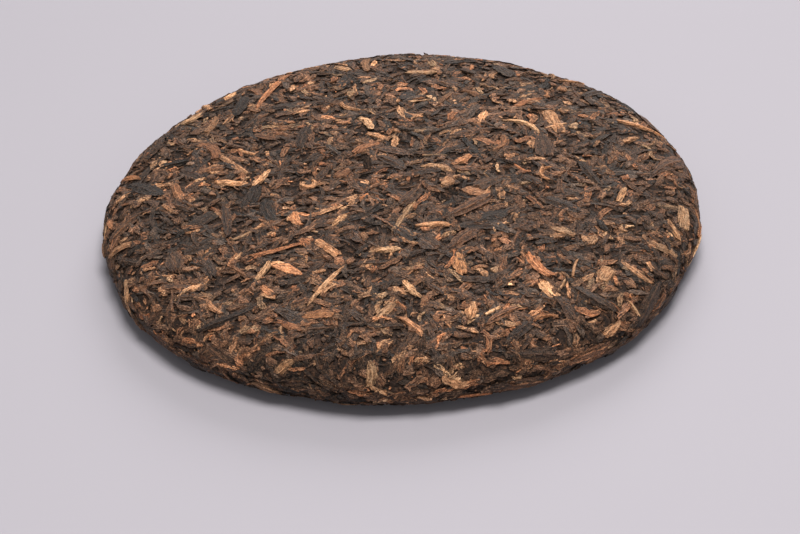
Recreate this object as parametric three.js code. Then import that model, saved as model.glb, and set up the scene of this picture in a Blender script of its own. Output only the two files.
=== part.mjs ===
// A pressed pu-erh tea cake: one solid disc of compressed tea leaf.
// Millimetres, +Z up. The origin is under the middle of the cake, on the plane it rests on.
// The front, with its low dome, faces up. The back has the hollow that the knot of the pressing bag leaves.

import * as THREE from "three";
import { mergeVertices } from "three/addons/utils/BufferGeometryUtils.js";

// ---- driving dimensions ----
const DIAMETER = 200; // across the widest part of the rim
const HEIGHT = 24; // from the resting plane to the crown of the front face
const RIM_HEIGHT = 9.5; // height of the widest part of the rim
const SHOULDER_RADIUS = 83; // where the dome of the front face meets the rounded edge
const DOME_RISE = 4.5; // how far the crown stands above the shoulder
const HEEL_RADIUS = 92; // where the underside turns up into the rim
const HEEL_LIFT = 1.2; // how far the heel stands clear of the resting plane
const REST_INNER_RADIUS = 40; // the flat ring that the cake rests on
const REST_OUTER_RADIUS = 68;
const HOLLOW_RADIUS = 33; // the bag knot's hollow in the back
const HOLLOW_DEPTH = 8;

const SEGMENTS_ROUND = 128;
const RADIUS = DIAMETER / 2;

// ---- unevenness of a hand-pressed cake ----
// The rim isn't a true circle. Waves run round it, and a wave with more lobes is lower. Each wave is
// turned on from the last by the golden angle, so that their crests don't meet in one place.
const RIM_LOBES = [2, 3, 5, 8, 13, 21];
const RIM_WAVE_HEIGHT = 0.9; // of a wave with a single lobe
const GOLDEN_ANGLE = Math.PI * (3 - Math.sqrt(5));
const RIM_WAVES_START = 30; // the waves fade in from this radius outwards
const FACE_SWELL = 0.45; // height of the shallow swells on the front face
const FACE_SWELL_LENGTH = 47; // from one swell to the next
const SWELL_START = 0.8; // radians, so that no swell sits right in the middle
const EDGE_SAG = 0.5; // how far the rim's height wanders on its way round
const SAG_LOBES = 3;
const SAG_START = 1.3; // radians
const KNOT_FOLDS = 12; // creases that the gathered bag leaves in the hollow
const FOLD_DEPTH = 0.7;
const FOLD_LEAN = 9; // the creases lean round by one radian in this many mm outwards

const lerp = THREE.MathUtils.lerp;
const smoothstep = THREE.MathUtils.smoothstep;

// Points of a quarter of an ellipse, from one end to the other, without the first.
function quarterEllipse(from, to, steps, bulgeFirst) {
  return Array.from({ length: steps }, (_, i) => {
    const angle = ((i + 1) / steps) * (Math.PI / 2);
    const quick = Math.sin(angle);
    const slow = 1 - Math.cos(angle);
    const [alongRadius, alongHeight] = bulgeFirst ? [quick, slow] : [slow, quick];
    return new THREE.Vector2(lerp(from.x, to.x, alongRadius), lerp(from.y, to.y, alongHeight));
  });
}

// A row of points whose height follows a function of the radius, without the first.
function row(fromRadius, toRadius, steps, heightAt) {
  return Array.from({ length: steps }, (_, i) => {
    const radius = lerp(fromRadius, toRadius, (i + 1) / steps);
    return new THREE.Vector2(radius, heightAt(radius));
  });
}

// The half outline, from the roof of the hollow outwards under the cake, round the rim and up to the crown.
function cakeProfile() {
  const hollow = (radius) => (HOLLOW_DEPTH * (1 + Math.cos((Math.PI * radius) / HOLLOW_RADIUS))) / 2;
  const heelRise = (radius) => {
    const share = (radius - REST_OUTER_RADIUS) / (HEEL_RADIUS - REST_OUTER_RADIUS);
    return HEEL_LIFT * share ** 2;
  };
  const shoulderHeight = HEIGHT - DOME_RISE;
  const dome = (radius) => HEIGHT - DOME_RISE * (radius / SHOULDER_RADIUS) ** 2.4;
  const heel = new THREE.Vector2(HEEL_RADIUS, HEEL_LIFT);
  const widest = new THREE.Vector2(RADIUS, RIM_HEIGHT);
  const shoulder = new THREE.Vector2(SHOULDER_RADIUS, shoulderHeight);
  return [
    new THREE.Vector2(0, HOLLOW_DEPTH),
    ...row(0, HOLLOW_RADIUS, 6, hollow),
    ...row(HOLLOW_RADIUS, REST_INNER_RADIUS, 1, () => 0),
    ...row(REST_INNER_RADIUS, REST_OUTER_RADIUS, 2, () => 0),
    ...row(REST_OUTER_RADIUS, HEEL_RADIUS, 2, heelRise),
    ...quarterEllipse(heel, widest, 4, true),
    ...quarterEllipse(widest, shoulder, 5, false),
    ...row(SHOULDER_RADIUS, 0, 7, dome),
  ];
}

// How far the rim stands out or in, in one direction.
function rimWave(angle) {
  return RIM_LOBES.reduce((sum, lobes, order) => {
    const height = RIM_WAVE_HEIGHT / Math.sqrt(lobes);
    return sum + height * Math.cos(lobes * angle + order * GOLDEN_ANGLE);
  }, 0);
}

// Moves the points of the true lathed shape to where a hand-pressed cake has them.
function makeUneven(geometry) {
  const points = geometry.getAttribute("position");
  for (let i = 0; i < points.count; i += 1) {
    const x = points.getX(i);
    const y = points.getY(i);
    const z = points.getZ(i);
    const radius = Math.hypot(x, y);
    const angle = Math.atan2(y, x);
    const outwards = rimWave(angle) * smoothstep(radius, RIM_WAVES_START, RADIUS);
    const stretch = radius > 0 ? (radius + outwards) / radius : 1;
    // The swells act on the front face and fade out down the rim, so the resting ring stays flat.
    const onFront = smoothstep(z, RIM_HEIGHT, HEIGHT - DOME_RISE);
    const swellAcross = Math.sin((2 * Math.PI * x) / FACE_SWELL_LENGTH + SWELL_START);
    const swell = swellAcross * Math.cos((2 * Math.PI * y) / FACE_SWELL_LENGTH);
    const sagRound = Math.sin(SAG_LOBES * angle + SAG_START);
    const sag = EDGE_SAG * sagRound * smoothstep(z, HEEL_LIFT, RIM_HEIGHT);
    // The creases run down the wall of the hollow and end before the resting ring.
    const inHollow = z < HOLLOW_DEPTH + 1 && radius < HOLLOW_RADIUS;
    const onWall = inHollow ? Math.sin((Math.PI * radius) / HOLLOW_RADIUS) ** 2 : 0;
    const crease = FOLD_DEPTH * onWall * Math.cos(KNOT_FOLDS * angle + radius / FOLD_LEAN);
    const height = z + FACE_SWELL * swell * onFront + sag + crease;
    points.setXYZ(i, x * stretch, y * stretch, height);
  }
}

// Puts the middle of the outline over the origin.
function centre(geometry) {
  geometry.computeBoundingBox();
  const middle = geometry.boundingBox.getCenter(new THREE.Vector3());
  geometry.translate(-middle.x, -middle.y, 0);
}

function pressedCakeGeometry() {
  const lathed = new THREE.LatheGeometry(cakeProfile(), SEGMENTS_ROUND);
  lathed.deleteAttribute("normal");
  lathed.deleteAttribute("uv");
  lathed.rotateX(Math.PI / 2);
  const geometry = mergeVertices(lathed, 1e-3);
  makeUneven(geometry);
  centre(geometry);
  geometry.computeVertexNormals();
  return geometry;
}

const pressedLeaf = new THREE.MeshStandardMaterial({ color: 0x4e3a30, roughness: 0.85, metalness: 0 });

const teaCake = new THREE.Mesh(pressedCakeGeometry(), pressedLeaf);
teaCake.name = "tea_cake";

const part = new THREE.Group();
part.add(teaCake);

export default part;
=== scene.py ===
"""A pressed pu-erh tea cake: a compacted body of crumbled leaf, and on it the rolled leaves, broken
leaves, shreds, buds, stalks and crumbs that show at its surface, each laid down along the cake."""

import math

import bmesh
import bpy
import numpy as np
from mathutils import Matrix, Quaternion, Vector, noise
from mathutils.bvhtree import BVHTree


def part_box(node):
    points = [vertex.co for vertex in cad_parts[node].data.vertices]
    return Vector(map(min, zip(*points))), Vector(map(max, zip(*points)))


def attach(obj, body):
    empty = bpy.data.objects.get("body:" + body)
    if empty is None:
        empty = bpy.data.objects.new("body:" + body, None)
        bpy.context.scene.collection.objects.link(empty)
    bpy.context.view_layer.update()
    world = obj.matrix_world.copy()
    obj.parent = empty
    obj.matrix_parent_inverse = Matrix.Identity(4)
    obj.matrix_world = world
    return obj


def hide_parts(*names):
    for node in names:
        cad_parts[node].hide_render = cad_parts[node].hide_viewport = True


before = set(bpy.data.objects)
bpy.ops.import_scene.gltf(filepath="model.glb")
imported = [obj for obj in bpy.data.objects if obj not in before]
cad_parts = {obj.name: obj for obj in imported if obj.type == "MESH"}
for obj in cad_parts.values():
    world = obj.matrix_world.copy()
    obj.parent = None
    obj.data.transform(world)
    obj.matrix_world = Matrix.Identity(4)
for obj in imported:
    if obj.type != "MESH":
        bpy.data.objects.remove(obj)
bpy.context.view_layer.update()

MM = 0.001
CAKE = "tea_cake"
cake_low, cake_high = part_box(CAKE)
CAKE_MIDDLE = (cake_low + cake_high) / 2
CAKE_RADIUS = (cake_high.x - cake_low.x) / 2

BODY_DEPTH = 0.85 * MM  # the body's surface lies this far under the cake's outer surface
STEEP = 0.45  # a normal whose upright part is under this belongs to the rim
DRIFTS = ((0.4, 9 * MM), (0.7, 26 * MM))  # how much lighter and darker places differ, and their size
COLOUR_SPREAD = 0.24  # how much single pieces of one kind differ in lightness
PAINTED_RIM_SHADE = 0.5  # how much painted shade darkens the rim at its most shaded side
PAINTED_RIM_LIGHT = 0.2  # how much painted light lightens the rim in front
PAINTED_SHADE_SIDE = (-0.85, 0.53, 0)  # the way the side of the rim with the most painted shade faces
PAINTED_SHADE_DEPTH = 0.7 * MM  # this far under the cake's surface, the painted shade makes pieces their darkest
DARKEST_PAINTED_SHADE = 0.04  # how light the painted shade leaves them there
PAINTED_EDGE_SHADE_AND_TOP_LIGHT = (0.26, 1.5)  # painted shade at each piece's edge and painted highlight along its top, as lightness
PAINTED_EDGE_AND_TOP_HEIGHTS = (-0.2, 0.45)  # the heights in a pattern that count as its edge and its top, for that painted shade and highlight
PATCH_SIZE = 14 * MM  # how far apart patches of whole leaf and patches of broken leaf lie
SWIRL_SIZE = 16 * MM  # how far neighbours that point alike reach
SWIRL_TURN = 7  # how much the headings turn from swirl to swirl
RIM_BAND = STEEP + 0.2  # up to this upright part of the normal, pieces follow the rim round
STRAYING = (0.45, 0.4)  # radians by which headings differ from their neighbours', and from the rim's
SUNK_BEHIND = (0.05, 0.5)  # how far the pieces on the back lie under its surface, in mm
FLATTER_BEHIND = 0.8  # the share of a piece's slope that it loses on the back
SPREAD_TRIES = 12  # places tried for each large leaf that keeps its distance from the others
WOBBLE_WAYS = (0.3, 1, 1)  # how much of a piece's wobble goes along, across and up it
WINDING = 5  # radians that a piece's sideways wave turns through along its length

# Bake maps are unit squares. On the leaf's maps, each piece has a square cell of its own.
CELL_FILL = 0.84  # the share of its cell that a piece takes up each way
JOIN_ROOM = 1.6  # radians kept free on the map past a full turn, for faces across the join
FACE_SPAN = 0.23  # the cake's radius on the map of the body
RIM_STRIP = (0.96, 0.55, 0.4)  # the length, foot and height of the rim's strip on that map

# Leaf colours, as linear red, green and blue.
COLOURS = {
    "soot": (0.016, 0.0080, 0.0050),
    "charcoal": (0.044, 0.0220, 0.0122),
    "umber": (0.091, 0.044, 0.0225),
    "slate": (0.058, 0.040, 0.0310),
    "bark": (0.100, 0.055, 0.0340),
    "chestnut": (0.136, 0.064, 0.0330),
    "rust": (0.228, 0.098, 0.0460),
    "caramel": (0.284, 0.156, 0.0850),
    "honey": (0.352, 0.205, 0.1130),
    "straw": (0.395, 0.250, 0.1480),
    "hay": (0.250, 0.158, 0.0920),
    "amber": (0.285, 0.128, 0.0560),
}


# ---------------------------------------------------------------- materials


class Value:
    """The output of a node. Arithmetic on values adds Math nodes."""

    def __init__(self, finish, socket):
        self.finish = finish
        self.socket = socket

    def maths(self, operation, first, second):
        return self.finish.node("Math", {"operation": operation}, {0: first, 1: second})

    def __add__(self, other):
        return self.maths("ADD", self, other)

    def __sub__(self, other):
        return self.maths("SUBTRACT", self, other)

    def __mul__(self, other):
        return self.maths("MULTIPLY", self, other)


class Finish:
    """One material, built node by node."""

    def __init__(self, name):
        self.material = bpy.data.materials.new(name)
        self.material.use_nodes = True
        self.tree = self.material.node_tree
        self.tree.nodes.clear()

    def node(self, kind, settings=None, sockets=None, output=None):
        """Adds a node: its settings first, then its sockets' values or links. Gives one of its outputs."""
        made = self.tree.nodes.new("ShaderNode" + kind)
        for name, setting in (settings or {}).items():
            if name == "stops":
                self.set_stops(made.color_ramp, setting)
            else:
                setattr(made, name, setting)
        for name, given in (sockets or {}).items():
            shown = [s for s in made.inputs if s.enabled]
            socket = shown[name] if isinstance(name, int) else next(s for s in shown if s.name == name)
            if isinstance(given, Value):
                self.tree.links.new(given.socket, socket)
            else:
                socket.default_value = given
        outputs = [s for s in made.outputs if s.enabled]
        wanted = [s for s in outputs if s.name == output] or outputs
        return Value(self, wanted[0]) if wanted else None

    def set_stops(self, ramp, stops):
        while len(ramp.elements) < len(stops):
            ramp.elements.new(1.0)
        for element, (place, level) in zip(ramp.elements, stops):
            element.position = place
            element.color = (level, level, level, 1.0)

    def noise(self, where, size, detail=2.0, roughness=0.6):
        """Noise whose spots are about size across, in metres."""
        sockets = {"Vector": where, "Scale": 1 / size, "Detail": detail, "Roughness": roughness}
        return self.node("TexNoise", None, sockets, "Fac")

    def grains(self, where, size):
        """Cells about size across, in metres, each of its own level from 0 to 1."""
        sockets = {"Vector": where, "Scale": 1 / size, "Randomness": 1.0}
        cells = self.node("TexVoronoi", None, sockets, "Color")
        return self.node("SeparateColor", None, {"Color": cells}, "Red")

    def limit(self, value, low, high):
        return self.node("Clamp", None, {"Value": value, "Min": low, "Max": high})

    def ramp(self, value, *stops):
        return self.node("ValToRGB", {"stops": stops}, {"Fac": value})

    def scaled(self, colour, level):
        return self.node("VectorMath", {"operation": "SCALE"}, {"Vector": colour, "Scale": level})

    def mixed(self, share, first, second):
        return self.node("Mix", {"data_type": "RGBA"}, {"Factor": share, "A": first, "B": second})

    def close(self, **sockets):
        """Adds the surface shader and the output. Names are the shader's sockets, with _ for a space."""
        shader = self.node("BsdfPrincipled", None, {n.replace("_", " "): v for n, v in sockets.items()})
        self.node("OutputMaterial", None, {"Surface": shader})
        return self.material


def opaque(name):
    return (*COLOURS[name], 1.0)


def leaf_finish(name, streak, grit, gloss, fleck):
    """Dry pressed leaf. streak and grit are how strong the fibres and the fine grain show, gloss is the
    roughness, and fleck is how much of it carries light specks."""
    finish = Finish(name)
    # This attribute holds each piece's colour together with its painted shade and painted highlight.
    tint = finish.node("Attribute", {"attribute_name": "tint"}, None, "Color")
    grain = finish.node("Attribute", {"attribute_name": "grain"}, None, "Vector")
    place = finish.node("TexCoord", None, None, "Object")
    along = finish.node("Mapping", None, {"Vector": grain, "Scale": (0.18, 1.0, 1.0)})
    fibres = finish.noise(along, 0.42 * MM, 3.0, 0.65)
    specks = finish.grains(place, 0.34 * MM)
    dust = finish.noise(place, 0.8 * MM, 3.0, 0.75)
    patches = finish.noise(place, 3.0 * MM, 2.0, 0.5)
    light_grains = specks * specks * 3.0 - 1.0
    shade = (fibres - 0.5) * (3.2 * streak) + light_grains * (2.6 * grit) + (dust - 0.5) * (1.8 * grit)
    level = finish.limit(shade + (patches - 0.5) * 0.8 + 1.0, 0.12, 3.2)
    warm = finish.node("VectorMath", {"operation": "MULTIPLY"}, {0: tint, 1: (1.14, 0.92, 0.74)})
    drift = finish.ramp(finish.noise(place, 2.2 * MM, 2.0, 0.6), (0.42, 0.0), (0.62, 1.0))
    warmth = finish.limit(drift * 0.6 - level * 0.7 + 1.1, 0.0, 1.0)
    toned = finish.scaled(finish.mixed(warmth, tint, warm), level)
    share = finish.ramp(specks * 0.5 + dust, (0.80, 0.0), (1.0, 1.0)) * fleck
    colour = finish.mixed(share, toned, opaque("straw"))
    rough = finish.limit((dust - 0.5) * 0.7 + gloss, 0.3, 1.0)
    height = fibres * streak + (dust + specks * 0.4) * grit
    bump = finish.node("Bump", None, {"Strength": 1.0, "Distance": 0.8 * MM, "Height": height})
    return finish.close(Base_Color=colour, Roughness=rough, Normal=bump, Specular_IOR_Level=0.3)


def body_finish():
    """Crumbled leaf packed hard: dark, with small brown and pale bits in it. Its near-black is partly
    painted shade for the gaps between the leaves, where it shows.
    """
    finish = Finish("packed_crumb")
    place = finish.node("TexCoord", None, None, "Object")
    bits = finish.grains(place, 1.2 * MM)
    specks = finish.grains(place, 0.45 * MM)
    dust = finish.noise(place, 0.8 * MM, 3.0, 0.75)
    share = finish.ramp(bits, (0.45, 0.0), (1.0, 0.4))
    # Mostly soot: partly the packed crumb's own dark, partly painted shade for the gaps where it shows.
    tone = finish.mixed(share, opaque("soot"), opaque("chestnut"))
    level = finish.limit((specks - 0.5) * 1.2 + (dust - 0.5) * 3.0 + 1.0, 0.15, 2.4)
    height = bits * 0.6 + specks * 0.3 + dust
    bump = finish.node("Bump", None, {"Strength": 1.0, "Distance": 0.7 * MM, "Height": height})
    return finish.close(
        Base_Color=finish.scaled(tone, level), Roughness=0.85, Normal=bump, Specular_IOR_Level=0.3
    )


# ---------------------------------------------------------------- modelling helpers


def deselect():
    bpy.ops.object.select_all(action="DESELECT")


def make_active(obj):
    deselect()
    obj.select_set(True)
    bpy.context.view_layer.objects.active = obj


def apply_modifiers(obj):
    make_active(obj)
    for modifier in list(obj.modifiers):
        bpy.ops.object.modifier_apply(modifier=modifier.name)


def copied_cake(name):
    """A copy of the cake's solid, with its loose triangles merged."""
    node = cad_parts[CAKE]
    copy = node.copy()
    copy.data = node.data.copy()
    copy.name = name
    copy.data.name = name
    copy.data.materials.clear()
    for key in list(copy.keys()):
        del copy[key]
    copy.parent = None
    bpy.context.scene.collection.objects.link(copy)
    make_active(copy)
    bpy.ops.object.mode_set(mode="EDIT")
    bpy.ops.mesh.select_all(action="SELECT")
    bpy.ops.mesh.remove_doubles(threshold=0.01 * MM)
    bpy.ops.object.mode_set(mode="OBJECT")
    return copy


def smooth(obj, levels):
    modifier = obj.modifiers.new("smooth", "SUBSURF")
    modifier.levels = levels
    modifier.render_levels = levels
    apply_modifiers(obj)


# ---------------------------------------------------------------- the cake's surface


class Skin:
    """The cake's outer surface: it gives places to lay leaves, and brings points down onto itself."""

    def __init__(self):
        shell = copied_cake("skin")
        smooth(shell, 1)
        mesh = shell.data
        mesh.calc_loop_triangles()
        self.points = np.zeros((len(mesh.vertices), 3))
        mesh.vertices.foreach_get("co", self.points.ravel())
        self.normals = np.array([v.normal for v in mesh.vertices])
        self.faces = np.array([t.vertices for t in mesh.loop_triangles])
        self.tree = BVHTree.FromPolygons(self.points.tolist(), self.faces.tolist(), all_triangles=True)
        a, b, c = (self.points[self.faces[:, i]] for i in range(3))
        self.areas = np.linalg.norm(np.cross(b - a, c - a), axis=1) / 2
        self.upright = self.normals[self.faces].mean(1)[:, 2]
        centres = self.points[self.faces].mean(1)
        self.patch = np.array([noise.noise(Vector(c) / PATCH_SIZE) for c in centres])
        self.taken = []
        bpy.data.objects.remove(shell)

    def blend(self, faces, weights, values):
        return (values[self.faces[faces]] * weights[:, :, None]).sum(1)

    def smooth_normals(self, faces, weights):
        normals = self.blend(faces, weights, self.normals)
        return normals / np.linalg.norm(normals, axis=1, keepdims=True)

    def scatter(self, count, shares, patchy, rng):
        """Places spread over the surface. shares are the weights of the front, the rim and the back, and
        patchy is how much they gather on the patches, or keep off them if it is negative."""
        front, rim, back = shares
        weight = np.where(self.upright > STEEP, front, np.where(self.upright < -STEEP, back, rim))
        chance = self.areas * weight * np.exp(patchy * self.patch)
        faces = rng.choice(len(self.faces), count, p=chance / chance.sum())
        weights = rng.dirichlet((1, 1, 1), count)
        return self.blend(faces, weights, self.points), self.smooth_normals(faces, weights)

    def spread(self, count, shares, gap, rng):
        """Places scattered like the others, but each a gap away from all that were spread before it."""
        places, normals = self.scatter(count * SPREAD_TRIES, shares, 0, rng)
        kept = []
        for number, place in enumerate(places):
            clear = all(np.linalg.norm(place - other) > gap for other in self.taken)
            if clear and len(kept) < count:
                kept.append(number)
                self.taken.append(place)
        return places[kept], normals[kept]

    def settle(self, points):
        """The nearest places on the surface, and the surface's smooth normals there."""
        found = [self.tree.find_nearest(p) for p in points.tolist()]
        places = np.array([f[0] for f in found])
        faces = np.array([f[2] for f in found])
        a, b, c = (self.points[self.faces[faces, i]] for i in range(3))
        whole = np.maximum(np.linalg.norm(np.cross(b - a, c - a), axis=1), 1e-15)
        at_a = np.linalg.norm(np.cross(b - places, c - places), axis=1) / whole
        at_b = np.linalg.norm(np.cross(c - places, a - places), axis=1) / whole
        weights = np.stack([at_a, at_b, np.clip(1 - at_a - at_b, 0, 1)], 1)
        return places, self.smooth_normals(faces, weights)


# ---------------------------------------------------------------- patterns for the leaf pieces
# A pattern is one small piece modelled at unit size, drawn out along X. Copies of it are stretched
# to their true size as they are laid on the cake.


def drawn_out(name, widths, rng, sides, twist, pinch, ragged):
    """A closed strip drawn out along X ring by ring. widths are the rings' widths, twist turns each
    ring against the last, pinch pulls in every second corner, and ragged shifts each ring aside. Its
    ends are frayed."""
    deselect()
    bpy.ops.mesh.primitive_circle_add(
        vertices=sides,
        radius=0.5 * widths[0],
        fill_type="NGON",
        location=(-0.5, 0, 0),
        rotation=(0, math.pi / 2, 0),
    )
    piece = bpy.context.object
    piece.name = name
    bpy.ops.object.mode_set(mode="EDIT")
    pull_in_alternate_corners(piece, pinch)
    bpy.ops.mesh.select_all(action="SELECT")
    step = 1 / (len(widths) - 1)
    middle = Vector((-0.5, 0, 0))
    for before, after in zip(widths, widths[1:]):
        # Half of what the strip has strayed so far is taken back, so it stays nearly straight.
        aside = rng.uniform(-ragged, ragged) - middle.y * 0.5
        move = Vector((step, aside, 0))
        bpy.ops.mesh.extrude_region_move(TRANSFORM_OT_translate={"value": move})
        middle += move
        grow = after / before
        bpy.ops.transform.resize(value=(1, grow, grow), center_override=middle)
        bpy.ops.transform.rotate(value=twist, orient_axis="X", center_override=middle)
    fray_ends(piece, rng)
    bpy.ops.mesh.select_all(action="SELECT")
    bpy.ops.mesh.normals_make_consistent(inside=False)
    bpy.ops.object.mode_set(mode="OBJECT")
    bpy.ops.object.transform_apply(location=True, rotation=True, scale=True)
    return piece


def pull_in_alternate_corners(piece, pinch):
    bpy.ops.mesh.select_all(action="DESELECT")
    corners = list(bmesh.from_edit_mesh(piece.data).verts)
    for corner in corners[::2]:
        corner.select_set(True)
    bpy.ops.transform.resize(value=(1, 1 - pinch, 1 - pinch), center_override=piece.location)


def fray_ends(piece, rng):
    """Pushes the corners of both ends about. The strip is drawn out along its own Z from 0 to 1."""
    for end in (0, 1):
        bpy.ops.mesh.select_all(action="DESELECT")
        for corner in bmesh.from_edit_mesh(piece.data).verts:
            if abs(corner.co.z - end) < 0.001:
                corner.select_set(True)
        bpy.ops.transform.vertex_random(offset=0.07, uniform=1.0, seed=int(rng.integers(1, 999)))


def chip(name, rng):
    """A flat broken piece of leaf, with an uneven outline, a rounded edge and an uneven top."""
    deselect()
    bpy.ops.mesh.primitive_circle_add(vertices=7, radius=0.5, fill_type="NGON")
    piece = bpy.context.object
    piece.name = name
    bpy.ops.object.mode_set(mode="EDIT")
    bpy.ops.mesh.select_all(action="SELECT")
    bpy.ops.transform.vertex_random(offset=0.14, uniform=1.0, seed=int(rng.integers(1, 999)))
    bpy.ops.mesh.extrude_region_move(TRANSFORM_OT_translate={"value": (0, 0, 0.7)})
    bpy.ops.mesh.inset(thickness=0.1, depth=0.3)
    bpy.ops.transform.vertex_random(offset=0.08, uniform=1.0, seed=int(rng.integers(1, 999)))
    bpy.ops.mesh.select_all(action="SELECT")
    bpy.ops.mesh.normals_make_consistent(inside=False)
    bpy.ops.object.mode_set(mode="OBJECT")
    return piece


def lump(name, rng):
    """A broken crumb: a short four-sided block with its corners pushed about."""
    deselect()
    bpy.ops.mesh.primitive_cylinder_add(vertices=4, radius=0.5, depth=0.7, rotation=(0, math.pi / 2, 0))
    piece = bpy.context.object
    piece.name = name
    bpy.ops.object.mode_set(mode="EDIT")
    bpy.ops.mesh.select_all(action="SELECT")
    bpy.ops.transform.vertex_random(offset=0.22, uniform=1.0, seed=int(rng.integers(1, 999)))
    bpy.ops.mesh.normals_make_consistent(inside=False)
    bpy.ops.object.mode_set(mode="OBJECT")
    bpy.ops.object.transform_apply(location=True, rotation=True, scale=True)
    return piece


def swelling(rings, blunt, wander, rng):
    """Ring widths that swell from the ends to the middle. blunt is how square the ends are, and wander
    is how uneven the widths are."""
    ends = np.sin(np.linspace(0, math.pi, rings + 2)[1:-1])
    knots = np.linspace(0, 1, 5)
    uneven = np.interp(np.linspace(0, 1, rings), knots, rng.uniform(1 - wander, 1 + wander, len(knots)))
    return list(np.maximum(ends**blunt * uneven, 0.05))


def rolled_leaf(name, rng):
    widths = swelling(8, 0.5, 0.25, rng)
    twist = rng.uniform(0.15, 0.5)
    return drawn_out(name, widths, rng, sides=6, twist=twist, pinch=0.35, ragged=0.12)


def broad_leaf(name, rng):
    widths = swelling(9, 0.5, 0.15, rng)
    twist = rng.uniform(-0.08, 0.08)
    return drawn_out(name, widths, rng, sides=12, twist=twist, pinch=0.4, ragged=0.08)


def brown_leaf(name, rng):
    widths = swelling(8, 0.5, 0.25, rng)
    twist = rng.uniform(-0.1, 0.2)
    return drawn_out(name, widths, rng, sides=8, twist=twist, pinch=0.4, ragged=0.1)


def shred(name, rng):
    widths = swelling(4, 0.5, 0.3, rng)
    return drawn_out(name, widths, rng, sides=4, twist=0.3, pinch=0.2, ragged=0.15)


def bud(name, rng):
    widths = swelling(9, 0.6, 0.22, rng)
    twist = rng.uniform(0.05, 0.25)
    return drawn_out(name, widths, rng, sides=6, twist=twist, pinch=0.25, ragged=0.1)


def stalk(name, rng):
    widths = swelling(10, 0.2, 0.05, rng)
    return drawn_out(name, widths, rng, sides=6, twist=0.03, pinch=0.1, ragged=0.03)


def golden_tip(name, rng):
    widths = swelling(14, 0.5, 0.2, rng)
    twist = rng.uniform(0.03, 0.1)
    return drawn_out(name, widths, rng, sides=12, twist=twist, pinch=0.3, ragged=0.04)


def cut_strip(name, rng):
    widths = swelling(12, 0.12, 0.08, rng)
    return drawn_out(name, widths, rng, sides=12, twist=0.02, pinch=0.25, ragged=0.03)


def pointed_leaf(name, rng):
    """Widest a third of the way along, and narrowing from there to a point."""
    along = np.linspace(0.08, 0.97, 12)
    widths = list(np.sin(math.pi * along**0.6))
    return drawn_out(name, widths, rng, sides=12, twist=0.02, pinch=0.4, ragged=0.03)


def folded_leaf(name, rng):
    widths = swelling(14, 0.7, 0.2, rng)
    twist = rng.uniform(-0.05, 0.05)
    return drawn_out(name, widths, rng, sides=12, twist=twist, pinch=0.45, ragged=0.03)


def twig(name, rng):
    widths = swelling(16, 0.25, 0.2, rng)
    return drawn_out(name, widths, rng, sides=8, twist=0.05, pinch=0.3, ragged=0.03)


class Pattern:
    """A pattern's vertices, faces and map as arrays, fitted to a box one unit along each side."""

    def __init__(self, piece):
        mesh = piece.data
        points = np.zeros((len(mesh.vertices), 3))
        mesh.vertices.foreach_get("co", points.ravel())
        low, high = points.min(0), points.max(0)
        self.points = (points - (low + high) / 2) / (high - low)
        self.sizes = np.array([len(p.vertices) for p in mesh.polygons])
        self.corners = np.concatenate([list(p.vertices) for p in mesh.polygons])
        self.map = self.unrolled()
        self.hollow = self.hollows()
        bpy.data.objects.remove(piece)

    def hollows(self):
        """How far each point lies in from the widest point of its ring, as a share."""
        ring = np.unique(self.points[:, 0].round(4), return_inverse=True)[1]
        out = np.hypot(self.points[:, 1], self.points[:, 2])
        widest = np.zeros(ring.max() + 1)
        np.maximum.at(widest, ring, out)
        return 1 - out / np.maximum(widest[ring], 1e-6)

    def unrolled(self):
        """The surface laid flat in the unit square: along X, and around it."""
        face = np.repeat(np.arange(len(self.sizes)), self.sizes)
        at = self.points[self.corners]
        sums = [np.bincount(face, at[:, axis]) for axis in (1, 2)]
        middle = np.arctan2(sums[1], sums[0])[face]
        turn = np.arctan2(at[:, 2], at[:, 1]) - middle
        around = middle + (turn + math.pi) % (2 * math.pi) - math.pi
        spread = 2 * math.pi + JOIN_ROOM
        return np.clip(np.stack([at[:, 0] + 0.5, around / spread + 0.5], 1), 0, 1)


# ---------------------------------------------------------------- laying the pieces


class Kind:
    """One kind of piece. make models one of its patterns, and patterns is how many it has. Sizes are in
    mm, as the smallest and the largest. curl is the spread of its bend, in radians for each mm. level is
    the lowest and highest place of its top against the cake's surface, in mm. patchy is how much it
    gathers in patches, grooved is how much painted shade darkens its hollows, and shares are its weights
    on the front, the rim and the back. tilt is the spread of its slope, wobble of its points, and wiggle
    how much it winds. gap keeps its pieces that many mm apart."""

    def __init__(self, name, make, patterns, count, length, width, height, curl, level, colours, finish,
                 patchy=0.0, grooved=0.0, shares=(1.0, 1.1, 0.6), tilt=0.03, wobble=0.06, wiggle=0.15,
                 gap=0):
        self.name = name
        self.make = make
        self.patterns = patterns
        self.count = count
        self.sizes = (length, width, height)
        self.curl = curl
        self.level = level
        self.colours = colours
        self.finish = finish
        self.patchy = patchy
        self.grooved = grooved
        self.shares = shares
        self.tilt = tilt
        self.wobble = wobble
        self.wiggle = wiggle
        self.gap = gap * MM


def large_leaf(name, make, patterns, count, **given):
    """A kind of which a few large pieces lie apart from one another and catch the eye."""
    return Kind(name, make, patterns, count, wobble=0.03, wiggle=0.06, gap=8, **given)


def sizes_between(limits, count, rng):
    """Sizes between two limits, with more small ones than large."""
    low, high = limits
    return low + (high - low) * rng.beta(1.6, 3.0, (count, 1))


def turned_about(places, normals, angle):
    """The direction in the surface at each place, turned by angle from the one that runs round the cake."""
    around = np.cross((0, 0, 1), places - np.array(CAKE_MIDDLE))
    around -= normals * (around * normals).sum(1, keepdims=True)
    around /= np.maximum(np.linalg.norm(around, axis=1, keepdims=True), 1e-9)
    return around * np.cos(angle)[:, None] + np.cross(normals, around) * np.sin(angle)[:, None]


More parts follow.
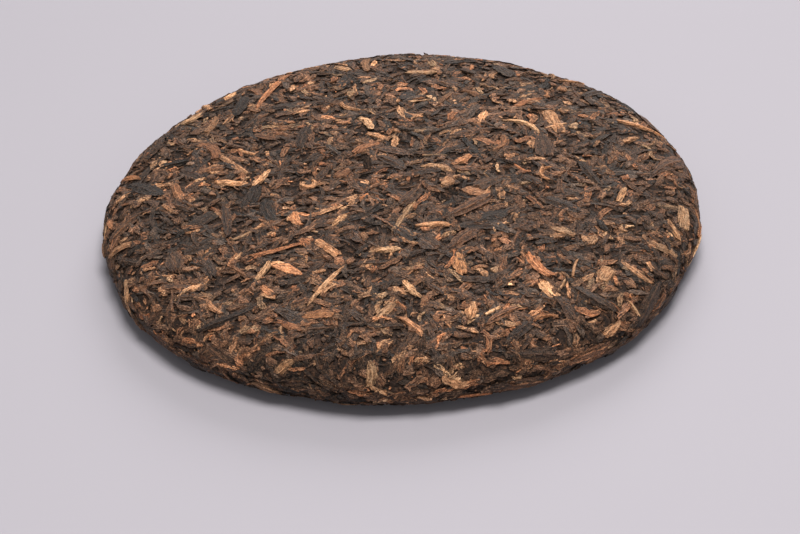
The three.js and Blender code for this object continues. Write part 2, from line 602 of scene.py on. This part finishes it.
def headings(places, normals, rng):
    """The direction in which each piece points. On the rim they follow it round. On the faces they lie
    any way, with neighbours often alike."""
    count = len(places)
    swirl = np.array([noise.noise(Vector(p) / SWIRL_SIZE) for p in places]) * SWIRL_TURN
    alike = swirl + rng.normal(0, STRAYING[0], count)
    on_face = np.where(rng.random(count) < 0.5, rng.uniform(0, 2 * math.pi, count), alike)
    on_rim = rng.normal(0, STRAYING[1], count) + np.where(rng.random(count) < 0.5, 0, math.pi)
    return turned_about(places, normals, np.where(np.abs(normals[:, 2]) < RIM_BAND, on_rim, on_face))


def picked_colours(shares, places, normals, rng):
    """A colour for each piece, mixed from two of the kind's colours. It drifts a little over the cake, and
    painted shade darkens the rim on the left while painted light lightens it in front."""
    count = len(normals)
    odds = np.array([s for _, s in shares], float)
    picked = rng.choice(len(shares), (count, 2), p=odds / odds.sum())
    table = np.array([COLOURS[n] for n, _ in shares])
    # Most pieces are nearly one of their two colours, and fewer lie midway.
    mix = rng.beta(0.6, 0.6, (count, 1))
    colour = table[picked[:, 0]] * mix + table[picked[:, 1]] * (1 - mix)
    # This is 1 where the surface is steep, and falls to 0 where it lies flat.
    rim = np.clip(1.9 - 2 * np.abs(normals[:, 2:]), 0, 1)
    # Painted shade on the rim, strongest on its left side, and painted light on its front.
    left = 0.5 + 0.5 * (normals @ PAINTED_SHADE_SIDE)[:, None]
    front = np.clip(-normals[:, 1:2], 0, 1)
    drift = sum(share * np.array([noise.noise(Vector(p) / size) for p in places]) for share, size in DRIFTS)
    # The drift is a real change of tone. The rest is painted rim shade and painted rim light.
    drift_and_painted_rim_light = np.exp(drift)[:, None] * (1 - PAINTED_RIM_SHADE * rim * left + PAINTED_RIM_LIGHT * rim * front)
    return colour * rng.lognormal(0, COLOUR_SPREAD, (count, 1)) * drift_and_painted_rim_light


def laid_copies(pattern, skin, places, normals, ahead, size, bend, top, tilt, wobble, wiggle, rng):
    """The points of one copy of the pattern for each place, bent, tilted and brought down onto the cake,
    the same points measured along and across the piece, and how light each point is: painted shade that
    deepens with how deep it lies, and painted shade at its edge with a painted highlight along its top."""
    count, per = len(places), len(pattern.points)
    unit = pattern.points[None] + rng.normal(0, wobble, (count, per, 3)) * WOBBLE_WAYS
    x, y, z = (unit[:, :, axis] * size[axis] for axis in range(3))
    bend = np.where(np.abs(bend) < 1, 1.0, bend)
    turn = bend * x
    along = np.sin(turn) / bend - y * np.sin(turn)
    aside = (1 - np.cos(turn)) / bend + y * np.cos(turn)
    wave = np.sin(unit[:, :, 0] * WINDING + rng.uniform(0, 6, (count, 1)))
    aside = aside + wave * size[1] * wiggle
    rise = z - size[2] / 2 + top + x * tilt
    left = np.cross(normals, ahead)
    flat = places[:, None] + ahead[:, None] * along[..., None] + left[:, None] * aside[..., None]
    down, up = skin.settle(flat.reshape(-1, 3))
    points = down + up * rise.reshape(-1, 1)
    points[:, 2] = np.maximum(points[:, 2], cake_low.z)
    grain = np.stack([x, y, z], -1) + rng.uniform(-1, 1, (count, 1, 3))
    # Painted shade that darkens pieces the deeper they lie under the cake's surface.
    painted_depth_shade = np.interp(rise, (-PAINTED_SHADE_DEPTH, 0), (DARKEST_PAINTED_SHADE, 1))
    # Painted shade along each piece's lower edge and a painted highlight along its top.
    light = painted_depth_shade * np.interp(unit[:, :, 2], PAINTED_EDGE_AND_TOP_HEIGHTS, PAINTED_EDGE_SHADE_AND_TOP_LIGHT)
    return points, grain.reshape(-1, 3), light.reshape(-1, 1)


class Pile:
    """Copies of patterns gathered into one mesh. Each copy has its own square of the bake map."""

    def __init__(self, count):
        self.cells = math.ceil(math.sqrt(count))
        self.held = 0
        self.parts = {"points": [], "grain": [], "tint": [], "corners": [], "sizes": [], "map": []}

    def add(self, pattern, points, grain, light, colours, grooved, numbers):
        count, per = len(numbers), len(pattern.points)
        # Painted shade in the pattern's hollows, on top of the painted shade and highlight held in light.
        shade = light * np.tile(np.clip(1 - grooved * pattern.hollow, 0.1, 1), count)[:, None]
        shift = self.held + per * np.arange(count)
        cell = np.stack([numbers % self.cells, numbers // self.cells], 1)[:, None]
        self.parts["points"].append(points)
        self.parts["grain"].append(grain)
        # The colours are stored with the painted shade already multiplied in.
        self.parts["tint"].append(np.c_[np.repeat(colours, per, 0) * shade, np.ones(count * per)])
        self.parts["corners"].append((pattern.corners[None] + shift[:, None]).ravel())
        self.parts["sizes"].append(np.tile(pattern.sizes, count))
        inside = pattern.map * CELL_FILL + (1 - CELL_FILL) / 2 + cell
        self.parts["map"].append((inside / self.cells).reshape(-1, 2))
        self.held += per * count

    def finished(self, name, material):
        part = {key: np.concatenate(held) for key, held in self.parts.items()}
        mesh = bpy.data.meshes.new(name)
        mesh.vertices.add(len(part["points"]))
        mesh.vertices.foreach_set("co", part["points"].ravel())
        mesh.loops.add(len(part["corners"]))
        mesh.loops.foreach_set("vertex_index", part["corners"].astype(np.int32))
        mesh.polygons.add(len(part["sizes"]))
        starts = np.cumsum(part["sizes"]) - part["sizes"]
        mesh.polygons.foreach_set("loop_start", starts.astype(np.int32))
        mesh.update(calc_edges=True)
        bake_map = mesh.uv_layers.new(name="OFBake")
        bake_map.uv.foreach_set("vector", part["map"].astype(np.float32).ravel())
        for key, kind, field in (("grain", "FLOAT_VECTOR", "vector"), ("tint", "FLOAT_COLOR", "color")):
            layer = mesh.attributes.new(key, kind, "POINT")
            layer.data.foreach_set(field, part[key].astype(np.float32).ravel())
        mesh.materials.append(material)
        piece = bpy.data.objects.new(name, mesh)
        bpy.context.scene.collection.objects.link(piece)
        make_active(piece)
        bpy.ops.object.shade_smooth_by_angle(angle=math.radians(50))
        return piece


def lay(kind, skin, seed):
    """Makes all the pieces of one kind as a single mesh on the cake."""
    rng = np.random.default_rng(seed)
    if kind.gap:
        places, normals = skin.spread(kind.count, kind.shares, kind.gap, rng)
    else:
        places, normals = skin.scatter(kind.count, kind.shares, kind.patchy, rng)
    count = len(places)
    colours = picked_colours(kind.colours, places, normals, rng)
    ahead = headings(places, normals, rng)
    sizes = np.stack([sizes_between(limits, count, rng) for limits in kind.sizes]) * MM
    bends = rng.normal(0, kind.curl / MM, (count, 1))
    # The back is pressed flat, so nothing stands out of it.
    behind = (normals[:, 2:] < -STEEP) * 1.0
    standing = rng.uniform(*kind.level, (count, 1))
    sunk = -rng.uniform(*SUNK_BEHIND, (count, 1))
    top = (standing * (1 - behind) + sunk * behind) * MM
    tilt = rng.normal(0, kind.tilt, (count, 1)) * (1 - FLATTER_BEHIND * behind)
    pile = Pile(count)
    for i in range(kind.patterns):
        pattern = Pattern(kind.make(f"{kind.name}_{i}", rng))
        mine = np.arange(i, count, kind.patterns)
        # light holds the painted shade and painted highlight of each point.
        points, grain, light = laid_copies(
            pattern, skin, places[mine], normals[mine], ahead[mine], sizes[:, mine], bends[mine],
            top[mine], tilt[mine], kind.wobble, kind.wiggle, rng,
        )
        pile.add(pattern, points, grain, light, colours[mine], kind.grooved, mine)
    return pile.finished(kind.name, kind.finish)


# ---------------------------------------------------------------- the body


def packed_body():
    """The compacted inside of the cake, roughened by the leaf fragments packed into it."""
    body = copied_cake("packed_body")
    lay_out_bake_map(body.data)
    smooth(body, 2)
    for name, kind, size, depth in (
        ("lumps", "CLOUDS", 5.0, 0.9),
        ("bits", "VORONOI", 2.2, 0.7),
        ("grit", "CLOUDS", 1.2, 0.5),
    ):
        texture = bpy.data.textures.new(name, kind)
        texture.noise_scale = size * MM
        relief = body.modifiers.new(name, "DISPLACE")
        relief.texture = texture
        relief.texture_coords = "LOCAL"
        relief.strength = depth * MM
        relief.mid_level = 0.5
    inset = body.modifiers.new("inset", "DISPLACE")
    inset.strength = -BODY_DEPTH
    inset.mid_level = 0.0
    apply_modifiers(body)
    body.data.materials.append(body_finish())
    make_active(body)
    bpy.ops.object.shade_smooth()
    return body


def lay_out_bake_map(mesh):
    """The front and the back side by side in the lower half, and the rim as a strip above them."""
    bake_map = mesh.uv_layers.new(name="OFBake")
    length, foot, height = RIM_STRIP
    for face in mesh.polygons:
        upright = face.normal.z
        middle = math.atan2(face.center.y, face.center.x)
        for loop in face.loop_indices:
            x, y, z = mesh.vertices[mesh.loops[loop].vertex_index].co
            if abs(upright) > STEEP:
                half = 0.25 if upright > 0 else 0.75
                spot = (half + FACE_SPAN * x / CAKE_RADIUS, 0.25 + FACE_SPAN * y / CAKE_RADIUS)
            else:
                turn = (math.atan2(y, x) - middle + math.pi) % (2 * math.pi) - math.pi + middle
                rise = (z - cake_low.z) / (cake_high.z - cake_low.z)
                spot = (0.5 + turn / (2 * math.pi) * length, foot + height * rise)
            bake_map.data[loop].uv = spot


# ---------------------------------------------------------------- the stage


def add_floor():
    deselect()
    bpy.ops.mesh.primitive_plane_add(size=6.0, location=(0, 0, cake_low.z - 0.05 * MM))
    floor = bpy.context.object
    floor.name = "floor"
    finish = Finish("pale_floor")
    floor.data.materials.append(
        finish.close(Base_Color=(0.318, 0.310, 0.352, 1.0), Roughness=0.9, Specular_IOR_Level=0.2)
    )


def add_camera():
    """Looks down on the near half of the cake, with a slight roll."""
    elevation = math.radians(35.4)
    distance = 7.11 * CAKE_RADIUS
    aim = Vector((-0.01, -0.36, 0)) * CAKE_RADIUS + Vector((0, 0, CAKE_MIDDLE.z))
    data = bpy.data.cameras.new("camera")
    data.sensor_width = 36.0
    data.lens = 99.5
    camera = bpy.data.objects.new("camera", data)
    bpy.context.scene.collection.objects.link(camera)
    back = Vector((0, -math.cos(elevation), math.sin(elevation)))
    camera.location = aim + back * distance
    camera.rotation_mode = "QUATERNION"
    roll = Quaternion((0, 0, 1), math.radians(-3.3))
    camera.rotation_quaternion = (-back).to_track_quat("-Z", "Y") @ roll
    bpy.context.scene.camera = camera


def add_light(name, place, size, power, colour):
    data = bpy.data.lights.new(name, "AREA")
    data.shape = "DISK"
    data.size = size
    data.energy = power
    data.color = colour
    light = bpy.data.objects.new(name, data)
    bpy.context.scene.collection.objects.link(light)
    light.location = place
    light.rotation_mode = "QUATERNION"
    light.rotation_quaternion = (CAKE_MIDDLE - light.location).to_track_quat("-Z", "Y")


def add_lights():
    add_light("window", (0.12, -0.28, 1.17), 0.6, 18.2, (1.0, 0.955, 0.90))
    add_light("back_glow", (0.25, 1.1, 0.75), 0.9, 14.4, (1.0, 0.965, 0.935))
    add_light("front_fill", (0.15, -1.1, 0.40), 0.8, 2.0, (1.0, 0.97, 0.93))
    world = bpy.data.worlds.new("soft_sky")
    world.use_nodes = True
    sky = world.node_tree.nodes["Background"]
    sky.inputs["Color"].default_value = (1.0, 0.965, 0.94, 1.0)
    sky.inputs["Strength"].default_value = 0.385
    bpy.context.scene.world = world
    bpy.context.scene.view_settings.view_transform = "Standard"


# ---------------------------------------------------------------- the cake

LEAF = leaf_finish("dark_leaf", streak=1.6, grit=0.18, gloss=0.52, fleck=0.12)
BROKEN = leaf_finish("broken_leaf", streak=1.5, grit=0.22, gloss=0.62, fleck=0.15)
TIPPY = leaf_finish("golden_bud", streak=1.4, grit=0.2, gloss=0.74, fleck=0.2)
WOODY = leaf_finish("woody_stalk", streak=0.9, grit=0.1, gloss=0.70, fleck=0.0)
CRUMBLY = leaf_finish("leaf_crumb", streak=0.5, grit=0.3, gloss=0.74, fleck=0.15)
SHOWN = leaf_finish("shown_leaf", streak=1.4, grit=0.12, gloss=0.72, fleck=0.15)

# What each kind's colours are mixed from, with the share of each.
DARK = (("soot", 3), ("charcoal", 7), ("umber", 4), ("slate", 3), ("chestnut", 1.5))
BROWN = (
    ("soot", 1.5), ("charcoal", 6), ("umber", 6.5), ("slate", 1.5), ("chestnut", 2.5), ("bark", 2),
    ("rust", 0.6), ("caramel", 0.5), ("hay", 0.4),
)
MIXED = (
    ("soot", 1), ("charcoal", 4), ("umber", 5), ("bark", 2), ("chestnut", 2.5), ("rust", 0.7),
    ("caramel", 0.8), ("hay", 0.3),
)
TAWNY = (
    ("chestnut", 3.5), ("bark", 3.5), ("umber", 3), ("rust", 1.8), ("caramel", 1.4), ("hay", 1.0),
    ("charcoal", 1.5),
)
DUSTY = (
    ("soot", 2), ("charcoal", 5), ("umber", 5), ("bark", 2), ("chestnut", 2), ("rust", 0.4),
    ("caramel", 0.25),
)
GOLD = (("rust", 2.2), ("caramel", 4), ("straw", 1), ("hay", 2.2), ("chestnut", 2))
PALE = (("caramel", 3), ("straw", 1), ("hay", 4), ("rust", 2))
OLD = (("soot", 5), ("charcoal", 4), ("umber", 2.5), ("chestnut", 1))
BRIGHT = (
    ("caramel", 5), ("honey", 4), ("straw", 2.5), ("rust", 2.5), ("hay", 1.5), ("amber", 1.5),
    ("chestnut", 1.5),
)

MOSTLY_RIM = (1.0, 1.5, 0.6)  # shares of the front, the rim and the back

KINDS = (
    Kind(
        "broad_leaves", broad_leaf, patterns=8, count=700, length=(9, 25), width=(2.8, 6.5),
        height=(1.1, 1.8), curl=0.02, level=(-0.12, 0.25), colours=DARK, finish=LEAF, patchy=-0.8,
        grooved=1.3, shares=MOSTLY_RIM,
    ),
    Kind(
        "rolled_leaves", rolled_leaf, patterns=7, count=1500, length=(6, 18), width=(1.3, 3.2),
        height=(0.8, 1.3), curl=0.05, level=(-0.2, 0.25), colours=DARK, finish=LEAF, patchy=-1.0,
        grooved=1.2, shares=MOSTLY_RIM,
    ),
    Kind(
        "brown_leaves", brown_leaf, patterns=8, count=760, length=(5, 13), width=(2.0, 4.4),
        height=(0.9, 1.5), curl=0.07, level=(-0.05, 0.3), colours=TAWNY, finish=TIPPY, grooved=1.0,
        shares=MOSTLY_RIM,
    ),
    Kind(
        "leaf_chips", chip, patterns=9, count=3300, length=(2.5, 8.5), width=(1.6, 4.2),
        height=(0.7, 1.2), curl=0.04, level=(-0.3, 0.15), colours=BROWN, finish=BROKEN, patchy=0.8,
        tilt=0.08,
    ),
    Kind(
        "small_chips", chip, patterns=9, count=2800, length=(1.0, 3.4), width=(0.7, 1.9),
        height=(0.4, 0.8), curl=0.0, level=(-0.35, 0.12), colours=MIXED, finish=BROKEN, patchy=1.0,
        tilt=0.10,
    ),
    Kind(
        "shreds", shred, patterns=6, count=1600, length=(1.5, 5), width=(0.5, 1.3), height=(0.4, 0.7),
        curl=0.10, level=(-0.30, 0.15), colours=MIXED, finish=BROKEN,
    ),
    Kind(
        "golden_buds", bud, patterns=6, count=480, length=(3.5, 11), width=(1.4, 3.2),
        height=(0.8, 1.2), curl=0.10, level=(-0.15, 0.25), colours=GOLD, finish=TIPPY, grooved=1.0,
    ),
    Kind(
        "stalks", stalk, patterns=5, count=40, length=(6, 18), width=(0.9, 1.6), height=(0.8, 1.1),
        curl=0.02, level=(0.0, 0.3), colours=PALE, finish=WOODY, wobble=0.02,
    ),
    Kind(
        "crumbs", lump, patterns=8, count=6500, length=(0.4, 1.3), width=(0.4, 0.9), height=(0.4, 0.7),
        curl=0.0, level=(-0.45, 0.08), colours=DUSTY, finish=CRUMBLY, patchy=1.0,
    ),
    large_leaf(
        "long_twigs", twig, patterns=4, count=12, length=(18, 38), width=(2.0, 3.4), height=(1.2, 1.9),
        curl=0.02, level=(0.35, 0.7), colours=PALE, finish=SHOWN, grooved=0.9,
    ),
    large_leaf(
        "pointed_leaves", pointed_leaf, patterns=4, count=14, length=(14, 30), width=(5, 8.5),
        height=(1.8, 2.5), curl=0.01, level=(0.45, 0.8), colours=OLD, finish=LEAF, grooved=1.4,
        shares=(1.0, 1.0, 0.3),
    ),
    large_leaf(
        "folded_leaves", folded_leaf, patterns=8, count=60, length=(12, 29), width=(3.6, 7.5),
        height=(1.4, 2.2), curl=0.02, level=(0.3, 0.75), colours=OLD, finish=LEAF, grooved=1.4,
        shares=(1.0, 1.6, 0.3),
    ),
    large_leaf(
        "cut_strips", cut_strip, patterns=7, count=36, length=(6, 22), width=(2.6, 6),
        height=(1.0, 1.5), curl=0.04, level=(0.3, 0.55), colours=BRIGHT, finish=SHOWN, grooved=0.9,
    ),
    large_leaf(
        "golden_tips", golden_tip, patterns=10, count=76, length=(7, 19), width=(2.6, 5.4),
        height=(1.0, 1.8), curl=0.05, level=(0.25, 0.6), colours=BRIGHT, finish=SHOWN, grooved=0.9,
    ),
    large_leaf(
        "hooked_tips", golden_tip, patterns=5, count=18, length=(9, 21), width=(1.8, 3.2),
        height=(1.1, 1.6), curl=0.13, level=(0.35, 0.6), colours=BRIGHT, finish=SHOWN, grooved=0.9,
    ),
    large_leaf(
        "pale_flakes", chip, patterns=6, count=16, length=(5, 14), width=(3, 7), height=(0.9, 1.5),
        curl=0.0, level=(0.2, 0.5), colours=BRIGHT, finish=SHOWN,
    ),
    large_leaf(
        "loose_ends", folded_leaf, patterns=6, count=44, length=(5, 11), width=(1.8, 3.6),
        height=(0.9, 1.4), curl=0.02, level=(0.3, 0.9), colours=BROWN, finish=LEAF, grooved=1.2,
        shares=(0.1, 1.0, 0.0), tilt=0.25,
    ),
)


def build_cake():
    skin = Skin()
    body = packed_body()
    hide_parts(CAKE)
    for piece in [body] + [lay(kind, skin, seed) for seed, kind in enumerate(KINDS, start=11)]:
        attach(piece, "root")


add_floor()
add_camera()
add_lights()
build_cake()
